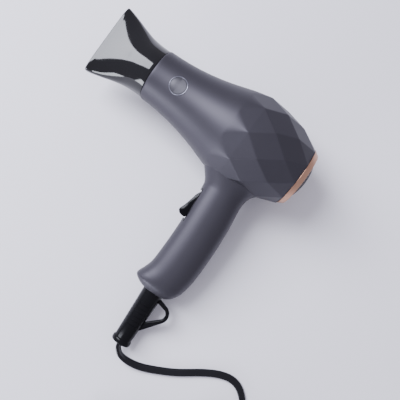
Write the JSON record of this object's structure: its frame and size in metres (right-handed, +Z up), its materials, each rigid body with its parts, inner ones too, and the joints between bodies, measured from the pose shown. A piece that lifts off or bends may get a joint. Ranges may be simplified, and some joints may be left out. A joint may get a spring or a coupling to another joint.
{
  "type": "hair dryer",
  "caption": "Hand-held hair dryer with a slot nozzle, flared barrel with a faceted rear, removable inlet grille, rocker switches and a coiled flat mains lead.",
  "frame": {"origin": "middle of the lying dryer's footprint, without its free cord, on the surface that it rests on", "axes": "+X along the barrel from nozzle to rear, +Y from handle to barrel, +Z up"},
  "size_m": [0.3406, 0.3514, 0.0869],
  "materials": {
    "shell": "fine metallic lacquer on plastic, satin",
    "badge": "satin, plain",
    "nozzle_gloss": "high gloss black",
    "black_plastic": "satin black, heat resistant",
    "switch_gloss": "satin to gloss black",
    "copper_ring": "anodised copper colour, fine brushed",
    "mesh_steel": "woven wire",
    "screw_steel": "zinc plated",
    "motor_steel": "drawn",
    "mica": "pressed mica board",
    "heater_wire": "oxidised resistance wire",
    "ceramic_white": "unglazed",
    "circuit_board": "solder mask",
    "switch_block": "moulded",
    "wire_insulation": "soft PVC",
    "gland_rubber": "soft satin black",
    "cord_rubber": "matt black PVC",
    "plug_plastic": "moulded satin black",
    "pin_brass": "nickel-free brass"
  },
  "bodies": {
    "housing": {"barrel_shell": "shell", "handle_shell_upper": "shell", "handle_shell_lower": "shell", "handle_end_cap": "shell", "handle_screws": "screw_steel", "badge": "badge", "outlet_sleeve": "black_plastic", "outlet_grid": "black_plastic", "mica_duct": "mica", "mica_frame": "mica", "heating_coils": "heater_wire", "thermostat": "ceramic_white", "thermal_fuse": "ceramic_white", "fan_housing": "black_plastic", "motor_can": "motor_steel", "rectifier_board": "circuit_board", "switch_bezel": "switch_gloss", "switch_pin": "screw_steel", "speed_switch_body": "switch_block", "heat_switch_body": "switch_block", "handle_wiring": "wire_insulation", "cord_clamp": "switch_block", "clamp_screws": "screw_steel", "cord_gland": "gland_rubber", "hanging_loop": "gland_rubber", "cord": "cord_rubber", "cord_coil": "cord_rubber", "coil_tie": "cord_rubber", "plug_body": "plug_plastic", "plug_pins": "pin_brass"},
    "nozzle_collar": {"nozzle_collar": "black_plastic"},
    "nozzle": {"nozzle_shell": "nozzle_gloss"},
    "fan": {"fan_rotor": "black_plastic", "motor_shaft": "motor_steel"},
    "speed_rocker": {"speed_rocker": "switch_gloss"},
    "heat_rocker": {"heat_rocker": "switch_gloss"},
    "inlet_cover": {"grille_dome": "black_plastic", "filter_mesh": "mesh_steel"},
    "rear_ring": {"rear_ring": "copper_ring"}
  },
  "joints": [
    {"name": "nozzle_pull", "type": "slide", "parent": "housing", "child": "nozzle_collar", "axis": [-1, 0, 0], "range_m": [0, 0.025]},
    {"name": "nozzle_turn", "type": "hinge", "parent": "nozzle_collar", "child": "nozzle", "pos_m": [-0.0552, 0.08434, 0.04345], "axis": [1, 0, 0], "continuous": true},
    {"name": "fan_spin", "type": "hinge", "parent": "housing", "child": "fan", "pos_m": [-0.0552, 0.08434, 0.04345], "axis": [1, 0, 0], "continuous": true},
    {"name": "speed_rocker_tilt", "type": "hinge", "parent": "housing", "child": "speed_rocker", "pos_m": [0.0433, 0.01083, 0.03135], "axis": [0, -0.1624, 0.9867], "range_deg": [0, 14]},
    {"name": "heat_rocker_tilt", "type": "hinge", "parent": "housing", "child": "heat_rocker", "pos_m": [0.0433, 0.01083, 0.03135], "axis": [0, -0.1624, 0.9867], "range_deg": [0, 14]},
    {"name": "cover_pull", "type": "slide", "parent": "housing", "child": "inlet_cover", "axis": [1, 0, 0], "range_m": [0, 0.025]},
    {"name": "ring_twist", "type": "hinge", "parent": "inlet_cover", "child": "rear_ring", "pos_m": [-0.0552, 0.08434, 0.04345], "axis": [1, 0, 0], "range_deg": [0, 20]}
  ]
}
